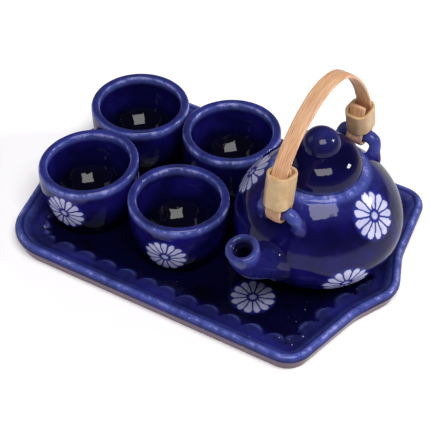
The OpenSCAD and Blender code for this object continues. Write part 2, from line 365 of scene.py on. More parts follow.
def daisy_brush() -> bpy.types.NodeTree:
    """Node group that paints one daisy seen flat on the plane it touches.

    With (r, a) the polar place in petal lengths, a petal is where the distance from the line
    between two petals, (1 - f) pi r / petals, is more than a brush gap, and r lies between
    the ring and 1 - 0.26 f^2.6. Here f runs from 0 on a petal's middle line to 1 between two.

    Returns:
        The group, with outputs Petals (the white) and Wash (the pale blue round it).
    """
    tree = bpy.data.node_groups.new("daisy_brush", "ShaderNodeTree")
    face = tree.interface
    for name in ("Point", "Middle", "Across", "Up", "Facing"):
        face.new_socket(name, in_out="INPUT", socket_type="NodeSocketVector")
    for name in ("Radius", "Count", "Turn", "Strength"):
        face.new_socket(name, in_out="INPUT", socket_type="NodeSocketFloat")
    for name in ("Petals", "Wash"):
        face.new_socket(name, in_out="OUTPUT", socket_type="NodeSocketFloat")
    b = NodeBench(tree)
    given = b.add("NodeGroupInput").outputs
    offset = b.vector("SUBTRACT", given["Point"], given["Middle"]).outputs[0]
    u, v, w = (
        b.math("DIVIDE", b.vector("DOT_PRODUCT", offset, given[axis]).outputs["Value"],
               given["Radius"])
        for axis in ("Across", "Up", "Facing")
    )
    shake = b.noise(offset, 900, 1)
    wash_noise = b.noise(offset, 420, 3, 0.6)
    far = b.math("SQRT", b.math("ADD", b.math("MULTIPLY", u, u), b.math("MULTIPLY", v, v)))
    r = b.math("ADD", far, b.span(shake, -0.05, 0.05))
    share = b.math("MULTIPLY", b.math("DIVIDE", b.math("ARCTAN2", v, u), 2 * math.pi),
                   given["Count"])
    share = b.math("ADD", share, b.math("ADD", given["Turn"], b.span(wash_noise, -0.3, 0.3)))
    f = b.math("MULTIPLY", b.math("ABSOLUTE", b.math("SUBTRACT", b.math("FRACT", share), 0.5)),
               2.0)
    arc = b.math("DIVIDE", b.math("MULTIPLY", b.math("SUBTRACT", 1.0, f),
                                  b.math("MULTIPLY", r, math.pi)), given["Count"])
    between = b.ease(arc, 0.016, 0.062)
    tip = b.math("SUBTRACT", 1.0, b.math("MULTIPLY", b.math("POWER", f, 2.6), 0.26))
    inside = b.ease(b.math("SUBTRACT", tip, r), -0.02, 0.06)
    outside_ring = b.ease(r, 0.26, 0.33)
    eye = b.math("SUBTRACT", 1.0, b.ease(r, 0.11, 0.19))
    white = b.math("MULTIPLY", b.math("MULTIPLY", between, inside), outside_ring)
    white = b.math("ADD", white, b.math("MULTIPLY", eye, 0.85))
    near_side = b.ease(w, -0.36, -0.3)
    worn = b.math("MULTIPLY", b.span(wash_noise, 0.45, 1.45), given["Strength"])
    white = b.math("MULTIPLY", b.math("MULTIPLY", white, worn), near_side, clamp=True)
    halo = b.math("SUBTRACT", 1.0, b.ease(r, 0.9, 1.14))
    halo = b.math("MULTIPLY", b.math("MULTIPLY", halo, near_side), given["Strength"])
    out = b.add("NodeGroupOutput")
    b.feed(out.inputs["Petals"], white)
    b.feed(out.inputs["Wash"], halo)
    return tree


@dataclass(frozen=True)
class CobaltGlaze:
    """Glossy cobalt glaze over painted daisies: dark where it pools, pale where it thins.

    A thin attribute below 0 marks where a brown and mauve reflection of the surroundings is painted,
    on the tray's outer wall.

    Attributes:
        pooled: Colour where the glaze is deepest.
        deep: Colour of the darker clouds.
        body: Colour of the lighter clouds.
        pale: Colour where it thins over an edge.
        wash: Thin blue round the daisies.
        petal: The painted white.
        speck: Tiny trapped specks.
        edge: Colour where an edge is all but bare.
        foot: Painted mauve-brown reflection on the tray's outer wall.
        coat_roughness: Roughness of the glassy coat.
        coat_weight: How strongly the coat reflects.
        coat_ior: Refractive index of the coat.
    """

    pooled: Colour = (0.0012, 0.0010, 0.0075)
    deep: Colour = (0.0040, 0.0030, 0.050)
    body: Colour = (0.0105, 0.0080, 0.150)
    pale: Colour = (0.120, 0.160, 0.56)
    wash: Colour = (0.022, 0.032, 0.27)
    petal: Colour = (0.60, 0.61, 0.82)
    speck: Colour = (0.5, 0.55, 0.7)
    edge: Colour = (0.42, 0.40, 0.68)
    foot: Colour = (0.115, 0.060, 0.105)
    coat_roughness: float = 0.035
    coat_weight: float = 0.6
    coat_ior: float = 1.42

    def make(self, name: str, daisies: list[Daisy], specks: float = 0.0) -> bpy.types.Material:
        """Makes the glaze for one piece.

        Args:
            name: The material's name.
            daisies: The daisies painted on that piece.
            specks: How strongly tiny trapped specks show, 0 to 1.

        Returns:
            The material.
        """
        material, b, shader = new_finish(name)
        point = b.add("ShaderNodeTexCoord").outputs["Object"]
        thin = b.add("ShaderNodeAttribute", attribute_name="thin").outputs["Fac"]
        pool = b.add("ShaderNodeAttribute", attribute_name="pool").outputs["Fac"]
        cloud = b.noise(point, 110, 3, 0.55)
        mottle = b.math("ADD", b.math("MULTIPLY", b.noise(point, 900, 4, 0.7), 0.5),
                        b.math("MULTIPLY", b.noise(point, 230, 3, 0.6), 0.5))
        colour = b.mix(b.ease(cloud, 0.34, 0.70), self.deep, self.body)
        depth = b.math("MULTIPLY", pool, b.span(cloud, 0.55, 1.5), clamp=True)
        colour = b.mix(depth, colour, self.pooled)
        petals: Socket | float = 0.0
        wash: Socket | float = 0.0
        for daisy in daisies:
            stamp = b.add("ShaderNodeGroup", node_tree=bpy.data.node_groups["daisy_brush"])
            across, up = daisy.axes()
            for key, value in (
                ("Point", point), ("Middle", daisy.middle), ("Across", across), ("Up", up),
                ("Facing", daisy.facing), ("Radius", daisy.radius),
                ("Count", float(daisy.petals)), ("Turn", daisy.turn),
                ("Strength", daisy.strength),
            ):
                b.feed(stamp.inputs[key], value)
            petals = b.math("MAXIMUM", stamp.outputs["Petals"], petals)
            wash = b.math("MAXIMUM", stamp.outputs["Wash"], wash)
        if daisies:
            colour = b.mix(b.math("MULTIPLY", wash, 0.85), colour, self.wash)
        bare = b.math("MULTIPLY", thin, b.span(mottle, -0.5, 2.1), clamp=True)
        colour = b.mix(bare, colour, self.pale)
        colour = b.mix(b.math("MULTIPLY", b.ease(bare, 0.62, 0.98), 0.65), colour, self.edge)
        # Painted reflection: the mauve-brown foot colour goes where thin is below 0, on the tray's
        # outer wall.
        colour = b.mix(b.ease(b.math("MULTIPLY", thin, -1.0), 0.1, 0.7), colour, self.foot)
        if daisies:
            colour = b.mix(petals, colour, self.petal)
        if specks:
            cells = b.add("ShaderNodeTexVoronoi", feature="F1")
            b.feed(cells.inputs["Vector"], point)
            b.feed(cells.inputs["Scale"], 620.0)
            dot = b.math("SUBTRACT", 1.0, b.ease(cells.outputs["Distance"], 0.05, 0.11))
            rare = b.ease(b.noise(point, 75, 1), 0.58, 0.66)
            dot = b.math("MULTIPLY", b.math("MULTIPLY", dot, rare), specks)
            colour = b.mix(dot, colour, self.speck)
        b.feed(shader.inputs["Base Color"], colour)
        shader.inputs["Roughness"].default_value = 0.34
        shader.inputs["Specular IOR Level"].default_value = 0.0
        shader.inputs["Coat Weight"].default_value = self.coat_weight
        shader.inputs["Coat Roughness"].default_value = self.coat_roughness
        shader.inputs["Coat IOR"].default_value = self.coat_ior
        ripple = b.bump(b.noise(point, 240, 3, 0.45), 0.00026, 0.45)
        b.feed(shader.inputs["Coat Normal"], ripple)
        b.feed(shader.inputs["Normal"], ripple)
        return material


@dataclass(frozen=True)
class CaneSkin:
    """Split cane: a satin peach skin with fine darker fibres along the strip."""

    light: Colour = (0.93, 0.585, 0.345)
    dark: Colour = (0.58, 0.27, 0.125)
    core: Colour = (0.86, 0.60, 0.39)

    def make(self, name: str) -> bpy.types.Material:
        """Makes the cane finish, with its grain along the piece's own grain attribute.

        Args:
            name: The material's name.

        Returns:
            The material.
        """
        material, b, shader = new_finish(name)
        grain = b.add("ShaderNodeAttribute", attribute_name="grain").outputs["Vector"]
        stretched = b.vector("MULTIPLY", grain, (0.035, 1.0, 1.0)).outputs[0]
        fibres = b.noise(stretched, 4200, 4, 0.7)
        bands = b.noise(stretched, 1300, 2, 0.5)
        blotch = b.noise(grain, 160, 2, 0.5)
        colour = b.mix(b.ease(fibres, 0.36, 0.6), self.dark, self.light)
        colour = b.mix(b.math("MULTIPLY", b.ease(bands, 0.5, 0.75), 0.55), colour, self.core)
        colour = b.mix(b.span(blotch, 0.0, 0.25), colour, self.dark)
        b.feed(shader.inputs["Base Color"], colour)
        b.feed(shader.inputs["Roughness"], b.span(fibres, 0.34, 0.56))
        shader.inputs["Specular IOR Level"].default_value = 0.55
        shader.inputs["Subsurface Weight"].default_value = 0.12
        shader.inputs["Subsurface Radius"].default_value = (1.0, 0.5, 0.25)
        shader.inputs["Subsurface Scale"].default_value = 0.0008
        b.feed(shader.inputs["Normal"], b.bump(fibres, 0.00009, 0.8))
        return material


@dataclass(frozen=True)
class WaxyTube:
    """Waxy, slightly translucent tube, clouded inside."""

    light: Colour = (0.66, 0.475, 0.27)
    dark: Colour = (0.55, 0.36, 0.17)

    def make(self, name: str) -> bpy.types.Material:
        """Makes the tube finish.

        Args:
            name: The material's name.

        Returns:
            The material.
        """
        material, b, shader = new_finish(name)
        point = b.add("ShaderNodeTexCoord").outputs["Object"]
        cloud = b.noise(point, 330, 3, 0.55)
        fine = b.noise(point, 2100, 2, 0.6)
        colour = b.mix(b.ease(cloud, 0.35, 0.7), self.dark, self.light)
        b.feed(shader.inputs["Base Color"], colour)
        b.feed(shader.inputs["Roughness"], b.span(cloud, 0.32, 0.5))
        shader.inputs["Subsurface Weight"].default_value = 0.45
        shader.inputs["Subsurface Radius"].default_value = (1.0, 0.62, 0.32)
        shader.inputs["Subsurface Scale"].default_value = 0.0016
        b.feed(shader.inputs["Normal"], b.bump(fine, 0.00006, 0.5))
        return material


def dress(piece: Piece, finish: bpy.types.Material, slot: str, body: str, *nodes: str) -> Piece:
    """Gives a piece its finish, ties it to its body and hides the CAD nodes it stands for.

    Args:
        piece: The new piece.
        finish: Its material.
        slot: The record's material slot; not used.
        body: The body it rides on.
        nodes: The CAD nodes it stands for.

    Returns:
        The piece.
    """
    piece.data.materials.append(finish)
    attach(piece, body)
    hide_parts(*nodes)
    LOG.info("%s: %d faces, rides on %s", piece.name, len(piece.data.polygons), body)
    return piece


GLAZE = "cobalt_glaze"


# ---------------------------------------------------------------- the tray


@dataclass
class Tray:
    """Pressed tray: bracket-shaped ends, a rolled rim and a scalloped border inside it.

    Attributes:
        length: Between the rim's crests at the two ends' tips.
        width: Between the rim's crests at front and back.
        height: Of the rim's crest.
        floor: Height of the floor inside.
        corner: Crest radius of the two right corners.
        corner_left: Crest radius of the two left corners.
        lobe: Radius of the rounded middle of each end.
        lobe_turn: Half the turn of that middle.
        flank_tilt: Lean of the straight flanks beside it.
        hollow: Radius of the hollow curves between flank and middle.
        lobe_run: Straight between hollow and middle.
        rim: Radius of the rolled rim.
        scallop_pitch: Width of one scallop.
        scallop_shift: Start of the first scallop along the crest.
        border: Distance from the crest to the scallops' cusps.
        scallop: How far the scallops reach past their cusps.
        relief: Height of the border over the floor.
        daisies: The daisies painted on the floor.
    """

    length: float = 99.6 * MM
    width: float = 67.3 * MM
    height: float = 5.0 * MM
    floor: float = 2.4 * MM
    corner: float = 5.5 * MM
    corner_left: float = 11.0 * MM
    lobe: float = 8.0 * MM
    lobe_turn: float = math.radians(24)
    flank_tilt: float = math.radians(11)
    hollow: float = 20.0 * MM
    lobe_run: float = 6.8 * MM
    rim: float = 1.3 * MM
    scallop_pitch: float = 6.17 * MM
    scallop_shift: float = 2.3 * MM
    border: float = 5.2 * MM
    scallop: float = 2.3 * MM
    relief: float = 0.55 * MM
    daisies: list[Daisy] = field(default_factory=list)

    def steps(self) -> list[tuple[float, float]]:
        """The outline as (radius, turn) arcs and (length, 0) lines, from the front's middle."""
        turn, tilt = self.lobe_turn, self.flank_tilt
        y0 = (self.lobe * math.sin(turn) + self.lobe_run * math.cos(turn)
              + self.hollow * (math.sin(turn) - math.sin(tilt)))
        x0 = (self.lobe * (1 - math.cos(turn)) + self.lobe_run * math.sin(turn)
              + self.hollow * (math.cos(tilt) - math.cos(turn)))

        def flank(r: float) -> float:
            """Length of the straight flank beside a corner of radius r."""
            return (self.width / 2 - r * (1 - math.sin(tilt)) - y0) / math.cos(tilt)

        def side(r: float) -> float:
            """Length of the straight side from the middle to a corner of radius r."""
            return self.length / 2 - x0 - flank(r) * math.sin(tilt) - r * math.cos(tilt)

        def end(r: float) -> list[tuple[float, float]]:
            """One bracket-shaped end, corner to corner, with corners of radius r."""
            bend = math.pi / 2 - tilt
            return [(r, bend), (flank(r), 0), (self.hollow, tilt - turn), (self.lobe_run, 0),
                    (self.lobe, 2 * turn), (self.lobe_run, 0), (self.hollow, tilt - turn),
                    (flank(r), 0), (r, bend)]

        right, left = self.corner, self.corner_left
        return ([(side(right), 0)] + end(right) + [(side(right) + side(left), 0)] + end(left)
                + [(side(left), 0)])

    def crest(self) -> tuple[Array, Array]:
        """Points along the rim's crest and the outward normals there, about 0.45 mm apart."""
        spacing = 0.45 * MM
        x, y, heading = 0.0, -self.width / 2, 0.0
        points, headings = [], []
        for size, turn in self.steps():
            run = size if turn == 0 else size * abs(turn)
            t = np.linspace(0, 1, max(2, int(run / spacing)), endpoint=False)
            if turn == 0:
                points.append(np.stack([x + size * t * math.cos(heading),
                                        y + size * t * math.sin(heading)], axis=1))
                headings.append(np.full(len(t), heading))
                x, y = x + size * math.cos(heading), y + size * math.sin(heading)
            else:
                h, k = heading + turn * t, math.copysign(1, turn)
                points.append(np.stack([x + k * size * (np.sin(h) - math.sin(heading)),
                                        y - k * size * (np.cos(h) - math.cos(heading))], axis=1))
                headings.append(h)
                new = heading + turn
                x += k * size * (math.sin(new) - math.sin(heading))
                y -= k * size * (math.cos(new) - math.cos(heading))
                heading = new
        line, angle = np.vstack(points), np.concatenate(headings)
        return line, np.stack([np.sin(angle), -np.cos(angle)], axis=1)

    def surface(self) -> tuple[Array, Array]:
        """Rings from the underside, over the rolled rim and in to the middle of the floor.

        The outer rings are the crest moved outwards along its normal. Inside the rim, ring t
        is the inner edge of the rim shrunk by 1 - t, and its height is a function of the
        distance to the crest: a slope, then a border that ends in scallops.

        Returns:
            The rings, and how thin the glaze lies on them, below 0 on the outer wall where a
            mauve-brown reflection is painted.
        """
        line, normal = self.crest()
        z_rim = self.height - self.rim
        a = np.radians(np.linspace(-30, 130, 26))
        wall = np.array([[-0.5, 0.0], [-0.22, 0.03], [-0.02, 0.18], [0.1, 0.45]]) * MM
        roll = np.stack([self.rim * np.cos(a), z_rim + self.rim * np.sin(a)], axis=1)
        climb = resample(np.vstack([wall[-1], roll[0]]), 0.2 * MM)[1:-1]
        section = np.vstack([wall, climb, roll])
        outer = line[None] + section[:, 0][:, None, None] * normal[None]
        z = np.repeat(section[:, 1][:, None], len(line), axis=1)
        t = np.concatenate([np.linspace(0, 0.25, 52)[1:], np.linspace(0.25, 0.995, 22)[1:]])
        inner = outer[-1][None] * (1 - t)[:, None, None]
        away, along = self.from_crest(inner, line)
        z = np.vstack([z, self.inside_height(away, along)])
        flat = np.concatenate([outer, inner])
        rings = np.concatenate([flat, z[..., None]], axis=2)
        # Below 0 on the wall and under the roll, where a mauve-brown reflection is painted; the
        # crest's peak is thin glaze.
        crest = 0.85 * np.exp(-(((a - 1.15) / 0.75) ** 2)) - 0.5 * (1 - smooth(a, -0.7, 0.6))
        over = np.concatenate([np.linspace(-0.95, -0.5, len(wall) + len(climb)), crest])
        return rings, np.vstack([np.repeat(over[:, None], len(line), 1),
                                 self.bareness(away, along)])

    def from_crest(self, points: Array, line: Array) -> tuple[Array, Array]:
        """Distance to the crest, and arc length along it at the nearest place, for points.

        Args:
            points: Level points, of shape (rings, points, 2).
            line: The crest, one point a row.

        Returns:
            The distances and the arc lengths, each of shape (rings, points).
        """
        shape = points.shape[:-1]
        gap = np.linalg.norm(np.roll(line, -1, axis=0) - line, axis=1)
        at = np.concatenate([[0], np.cumsum(gap)[:-1]])
        away, along = [], []
        for row in points.reshape(shape[0], -1, 2):
            d = np.linalg.norm(row[:, None] - line[None], axis=2)
            near = d.argmin(axis=1)
            away.append(d.min(axis=1))
            along.append(at[near])
        return np.array(away).reshape(shape), np.array(along).reshape(shape)

    def scallops(self, along: Array) -> Array:
        """How far in the border reaches: lobes |sin|^0.7 with cusps between them."""
        phase = math.pi * (along - self.scallop_shift) / self.scallop_pitch + math.pi / 2
        return self.border + self.scallop * np.abs(np.sin(phase)) ** 0.7

    def inside_height(self, away: Array, along: Array) -> Array:
        """Height inside the rim: a hollow slope plus the border's relief, over the floor.

        Args:
            away: Distance to the crest.
            along: Arc length along the crest at the nearest place.

        Returns:
            The height at each point.
        """
        drop = self.height - self.floor - 0.3 * MM - self.relief
        slope = drop * (1 - smooth(away, -2.2 * MM, 4.2 * MM)) / (1 - float(
            smooth(np.array(0.84 * MM), -2.2 * MM, 4.2 * MM)))
        edge = self.scallops(along)
        step = 1 - smooth(away - edge, -0.75 * MM, 0.15 * MM)
        swell = 0.25 * MM * np.exp(-(((away - edge) / MM + 1.3) / 0.8) ** 2)
        return self.floor + slope + self.relief * step + swell

    def bareness(self, away: Array, along: Array) -> Array:
        """Glaze thins on the slope below the crest and on the tips of the scallops.

        Args:
            away: Distance to the crest.
            along: Arc length along the crest at the nearest place.

        Returns:
            How thin it lies at each point, 0 to 1.
        """
        edge = self.scallops(along)
        slope = 0.44 * (1 - smooth(away, 0.5 * MM, 3.2 * MM))
        tips = 0.48 * np.exp(-(((away - edge) / MM + 0.55) / 0.55) ** 2)
        band = 0.07 * (1 - smooth(away - edge, -0.6 * MM, 0.1 * MM))
        return slope + tips * smooth(edge, self.border + 0.9 * MM, self.border + 2.2 * MM) + band

    def build(self, glaze: CobaltGlaze) -> None:
        """Makes the tray and dresses it.

        Args:
            glaze: Its finish.
        """
        rings, thin = self.surface()
        away = self.from_crest(rings[..., :2], self.crest()[0])[0]
        above_foot = rings[..., 2] > 1.5 * MM
        flat = smooth(away, 3.0 * MM, 8.5 * MM) * above_foot
        piece = lofted("tray_glazed", rings, thin=thin, pool=0.85 * flat)
        finish = glaze.make("tray_glaze", self.daisies, specks=1.0)
        dress(piece, finish, GLAZE, "tray", "tray")


# ---------------------------------------------------------------- the cups


@dataclass
class Cup:
    """A handleless cup: a tapering wall with a rounded rim, hollowed under its foot.

    Attributes:
        node: The CAD node it stands for.
        seed: Shifts how far it is out of round.
        rim_slant: How far the rim rises and falls where it is tipped.
        slant_towards: Angle of the rim's high side.
        daisy_at: Angle of its first daisy, or None for a plain cup.
        daisy_height: Height of the daisies' middles above the foot.
        daisy_count: How many daisies go round it.
        daisy_spacing: Angle between two daisies.
        wall: Thickness at the rim.
        foot: Outer radius of the foot.
        base: Height of the floor inside.
        height: From the node's box.
        radius: From the node's box.
        place: From the node's box.
    """

    node: str
    seed: float
    rim_slant: float = 0.0
    slant_towards: float = 0.0
    daisy_at: float | None = None
    daisy_height: float = 8.0 * MM
    daisy_count: int = 3
    daisy_spacing: float = 2.1
    wall: float = 2.2 * MM
    foot: float = 8.5 * MM
    base: float = 3.0 * MM
    height: float = field(init=False)
    radius: float = field(init=False)
    place: Place = field(init=False)

    def __post_init__(self) -> None:
        """Takes the cup's place and outer size from its node's box."""
        low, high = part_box(self.node)
        self.place = Place.under(self.node)
        self.height, self.radius = high.z - low.z, (high.x - low.x) / 2

    def profile(self) -> tuple[Array, Array]:
        """Half section from the underside over the rim to the floor, and the glaze on it."""
        half = self.wall / 2
        top = self.height - half
        grow = self.radius - self.foot
        foot = np.array([[0.3, 0.8], [6.6, 0.8], [6.95, 0.6], [7.1, 0.12], [7.4, 0.0],
                         [7.9, 0.0]]) * MM
        u = np.radians(np.linspace(87, 0, 48))
        outer = quarter(grow, top, 2.1, u)
        outer = np.stack([self.foot + outer[:, 0], top - outer[:, 1]], axis=1)
        outer = outer[outer[:, 1] > 0.25 * MM]
        a = np.radians(np.linspace(0, 180, 21)[1:-1])
        rim = np.stack([self.radius - half + half * np.cos(a),
                        top + half * np.abs(np.sin(a)) ** 0.8], axis=1)
        inner_r, depth = self.radius - self.wall, top - self.base
        q = quarter(inner_r, depth, 2.15, np.radians(np.linspace(0, 89, 60)))
        inner = np.stack([q[:, 0], top - q[:, 1]], axis=1)
        rings = 0.05 * MM * np.sin(inner[:, 1] / (0.52 * MM)) * smooth(
            top - inner[:, 1], 1 * MM, 4 * MM)
        inner[:, 0] += rings * smooth(inner[:, 0], 2 * MM, 6 * MM)
        line = np.vstack([foot, outer, rim, inner])
        up = line[:, 1] - top
        across = (line[:, 0] - self.radius + half) / half
        lip = smooth(up, -1.5 * MM, 0.1 * MM)
        edges = np.exp(-((np.abs(across) - 0.88) / 0.22) ** 2)
        return line, np.clip(lip * (0.20 + 0.72 * edges), 0, 1)

    def pooling(self, line: Array) -> Array:
        """Glaze pools low inside the cup and low on its outside.

        Args:
            line: The half section, rows of (radius, height).

        Returns:
            How deep it pools at each row, 0 to 1.
        """
        top = self.height - self.wall / 2
        below = top - line[:, 1]
        rim_middle = self.radius - self.wall / 2
        inside = (line[:, 0] < rim_middle) & (line[:, 1] > self.base - 0.1 * MM)
        well = smooth(below, 2.5 * MM, 9.5 * MM)
        skirt = 0.8 * smooth(below, 2 * MM, 12 * MM)
        return np.where(inside, well, skirt)

    def build(self, glaze: CobaltGlaze) -> None:
        """Makes the cup, tips its rim and dresses it.

        Args:
            glaze: Its finish.
        """
        line, thin = self.profile()
        pool = self.pooling(line)
        rings = turned(line, 168, 0.004, self.seed)
        lift = smooth(rings[..., 2], 0.35 * self.height, self.height)
        ahead = np.array([math.cos(self.slant_towards), math.sin(self.slant_towards)])
        rings[..., 2] += self.rim_slant * lift * (rings[..., :2] @ ahead) / self.radius
        daisies = []
        if self.daisy_at is not None:
            daisies = [self.painted(self.daisy_at + k * self.daisy_spacing, 0.37 * k)
                       for k in range(self.daisy_count)]
        piece = lofted(f"{self.node}_glazed", self.place.put(rings),
                       thin=np.repeat(thin[:, None], rings.shape[1], 1),
                       pool=np.repeat(pool[:, None], rings.shape[1], 1))
        finish = glaze.make(f"{self.node}_glaze", daisies)
        dress(piece, finish, GLAZE, self.node, self.node)

    def painted(self, angle: float, turn: float) -> Daisy:
        """A daisy on the wall.

        Args:
            angle: Angle about the cup's axis.
            turn: Turn about the daisy's own middle, in petals.

        Returns:
            The daisy.
        """
        fall = 1 - (self.daisy_height / self.height)
        r = self.foot + (self.radius - self.foot) * (1 - fall ** 2.1) ** (1 / 2.1)
        out = (math.cos(angle), math.sin(angle))
        middle = (self.place.x + r * out[0], self.place.y + r * out[1],
                  self.place.z + self.daisy_height)
        return Daisy(middle, (out[0], out[1], -0.2), 5.2 * MM, 14, turn)


# ---------------------------------------------------------------- the teapot


@dataclass
class Teapot:
    """Globe body with its spout and lugs; the lid and the bail are fitted to it.

    Attributes:
        place: Its axis and foot on the tray, and its turn.
        radius: Of the globe at its widest.
        belly: Height of the widest place.
        lower: Half height of the superellipse below it.
        lower_power: Power of that curve.
        upper: Half height of the superellipse above it.
        upper_power: Power of that curve.
        collar: Height of the collar's top.
        collar_radius: Outer radius of the collar.
        wall: Thickness of the body.
        mouth: Radius of the mouth.
        lug_out: Distance from the axis to the lugs' bars.
        lug_height: Height of the bars' middle.
        lug_bar: Radius of the bars.
    """

    place: Place
    radius: float = 20.9 * MM
    belly: float = 13.9 * MM
    lower: float = 16.68 * MM
    lower_power: float = 1.91
    upper: float = 18.55 * MM
    upper_power: float = 1.83
    collar: float = 29.0 * MM
    collar_radius: float = 10.9 * MM
    wall: float = 2.3 * MM
    mouth: float = 8.4 * MM
    lug_out: float = 17.4 * MM
    lug_height: float = 28.3 * MM
    lug_bar: float = 1.6 * MM

    def globe(self, inset: float, low: float, high: float) -> Array:
        """The globe's side between two heights.

        Args:
            inset: How far it is drawn in all round.
            low: Height where it starts.
            high: Height where it ends.

        Returns:
            Rows of (radius, height).
        """
        r = self.radius - inset
        below, above = self.lower - inset, self.upper - inset
        u0 = end_of_quarter(below, self.lower_power, self.belly - low)
        u1 = end_of_quarter(above, self.upper_power, high - self.belly)
        down = quarter(r, below, self.lower_power, np.linspace(u0, 0, 50))
        up = quarter(r, above, self.upper_power, np.linspace(0, u1, 60)[1:])
        return np.vstack([np.stack([down[:, 0], self.belly - down[:, 1]], axis=1),
                          np.stack([up[:, 0], self.belly + up[:, 1]], axis=1)])

    def radius_at(self, height: float) -> float:
        """Outer radius of the globe at a height above its foot."""
        side = self.globe(0, 0.0, self.collar - 0.5 * MM)
        return float(np.interp(height, side[:, 1], side[:, 0]))

    def painted(self, angle: float, height: float, **look: float) -> Daisy:
        """A daisy on the globe.

        Args:
            angle: Angle about the pot's axis, from its own x.
            height: Height above the pot's foot.
            look: Any other sizes of the daisy.

        Returns:
            The daisy.
        """
        r = self.radius_at(height)
        step = 0.2 * MM
        slope = (self.radius_at(height + step) - self.radius_at(height - step)) / (2 * step)
        a = angle + self.place.turn
        out = np.array([math.cos(a), math.sin(a), -slope])
        out /= np.linalg.norm(out)
        middle = (self.place.x + r * math.cos(a), self.place.y + r * math.sin(a),
                  self.place.z + height)
        return Daisy(middle, tuple(out), **look)

    def build_body(self, glaze: CobaltGlaze, daisies: list[Daisy]) -> None:
        """Makes the hollow globe with its collar, mouth and foot.

        Args:
            glaze: Its finish.
            daisies: The daisies painted on it.
        """
        foot = np.array([[0.3, 0.8], [8.2, 0.8], [8.5, 0.6], [8.7, 0.1], [9.1, 0.0],
                         [10.6, 0.0]]) * MM
        outer = self.globe(0, 0.3 * MM, self.collar - 0.7 * MM)
        top, edge = self.collar, self.collar_radius
        collar = np.array([[edge + 0.75 * MM, top - 0.5 * MM], [edge + 0.45 * MM, top - 0.2 * MM],
                           [edge + 0.1 * MM, top - 0.04 * MM], [edge - 0.5 * MM, top],
                           [self.mouth + 0.3 * MM, top], [self.mouth + 0.05 * MM, top - 0.1 * MM],
                           [self.mouth, top - 0.4 * MM], [self.mouth, top - 1.2 * MM]])
        inner = self.globe(self.wall, 2.6 * MM, top - 1.7 * MM)[::-1]
        line = resample(np.vstack([foot, outer, collar, inner, [[0.3 * MM, 2.6 * MM]]]),
                        0.42 * MM)
        rings = turned(line, 240, 0.0022, 0.7)
        thin = 0.75 * smooth(line[:, 1], top - 1.3 * MM, top - 0.2 * MM)
        thin += 0.1 * smooth(line[:, 1], top - 5 * MM, top - 1 * MM)
        thin *= line[:, 0] > self.mouth - 0.1 * MM
        pool = 0.55 * (1 - smooth(line[:, 1], 1 * MM, 12 * MM))
        pool += 0.35 * np.exp(-((line[:, 1] / MM - 20) / 4.5) ** 2)
        piece = lofted("teapot_body_glazed", self.place.put(rings),
                       thin=np.repeat(thin[:, None], rings.shape[1], 1),
                       pool=np.repeat(pool[:, None], rings.shape[1], 1))
        dress(piece, glaze.make("teapot_glaze", daisies), GLAZE, "teapot", "teapot_body")

    def build_spout(self, glaze: CobaltGlaze) -> None:
        """Makes the spout: a tube along a root line and a bend, with a rolled lip and a bore.

        The radius flares towards the body as 3.95 mm plus 2.4 mm times a falling exponential of
        the squared distance from the root, which is the slip that fills the joint.

        Args:
            glaze: Its finish.
        """
        reach, rise, bend = 32.0 * MM, 26.6 * MM, 18.0 * MM
        start, end = math.radians(20), math.radians(74)
        centre = np.array([reach - bend * math.sin(end), rise + bend * math.cos(end)])
        root = centre + bend * np.array([math.sin(start), -math.cos(start)])
        t = np.linspace(-4.5 * MM, 0, 14)[:-1]
        line = root + t[:, None] * np.array([math.cos(start), math.sin(start)])
        h = np.linspace(start, end, 64)
        arc = centre + bend * np.stack([np.sin(h), -np.cos(h)], axis=1)
        path = np.vstack([line, arc])
        run = np.concatenate([t, bend * (h - start)])
        radius = 3.95 * MM + 2.4 * MM * np.exp(-(((run + 3.2 * MM) / (3.6 * MM)) ** 2))
        out = np.array([math.cos(end), math.sin(end)])
        tip = path[-1]
        a = np.radians(np.linspace(0, 180, 19)[1:])
        lip = 0.85 * MM
        lip_r = radius[-1] - lip + 0.12 * MM
        over_r = lip_r + lip * np.cos(a)
        over = tip + (lip * np.sin(a))[:, None] * out
        down_at = np.array([0.25, 0.55, 0.9, 1.5, 3.0, 5.5, 8.0]) * MM
        down_r = np.array([2.1, 1.6, 1.25, 1.1, 1.05, 1.05, 1.05]) * MM
        turn_back = end - down_at / bend
        inner = centre + bend * np.stack([np.sin(turn_back), -np.cos(turn_back)], axis=1)
        flat = np.vstack([path, over, inner])
        radii = np.concatenate([radius, over_r, down_r])
        ahead = np.concatenate([np.full(len(line), start), h, np.full(len(a), end), turn_back])
        rings = self.plane_rings(flat, ahead, radii, 72)
        thin = np.concatenate([
            0.06 + 0.34 * smooth(run, 14 * MM, 17.2 * MM), np.linspace(0.5, 0.2, len(a)),
            np.zeros(len(down_at))])
        pool = np.concatenate([
            0.35 * (1 - smooth(run, 4 * MM, 15 * MM)), np.linspace(0, 0.35, len(a)),
            np.full(len(down_at), 0.9)])
        piece = lofted("teapot_spout_glazed", self.place.put(rings),
                       thin=np.repeat(thin[:, None], rings.shape[1], 1),
                       pool=np.repeat(pool[:, None], rings.shape[1], 1))
        dress(piece, glaze.make("spout_glaze", []), GLAZE, "teapot", "teapot_spout")

    def plane_rings(self, flat: Array, ahead: Array, radii: Array, around: int) -> Array:
        """Round rings along a path in the spout's plane, where out is -Y and up is +Z.

        Args:
            flat: Rows of (out, up), one for each ring's middle.
            ahead: Heading above level that each ring is square to.
            radii: Radius of each ring.
            around: Points in each ring.

        Returns:
            Rings in the teapot's own frame.
        """
        a = np.linspace(0, 2 * math.pi, around, endpoint=False)
        up = np.stack([0 * ahead, np.sin(ahead), np.cos(ahead)], axis=1)
        side = np.array([-1.0, 0.0, 0.0])
        spoke = np.cos(a)[None, :, None] * side + np.sin(a)[None, :, None] * up[:, None, :]
        middle = np.stack([0 * ahead, -flat[:, 0], flat[:, 1]], axis=1)
        return middle[:, None, :] + radii[:, None, None] * spoke

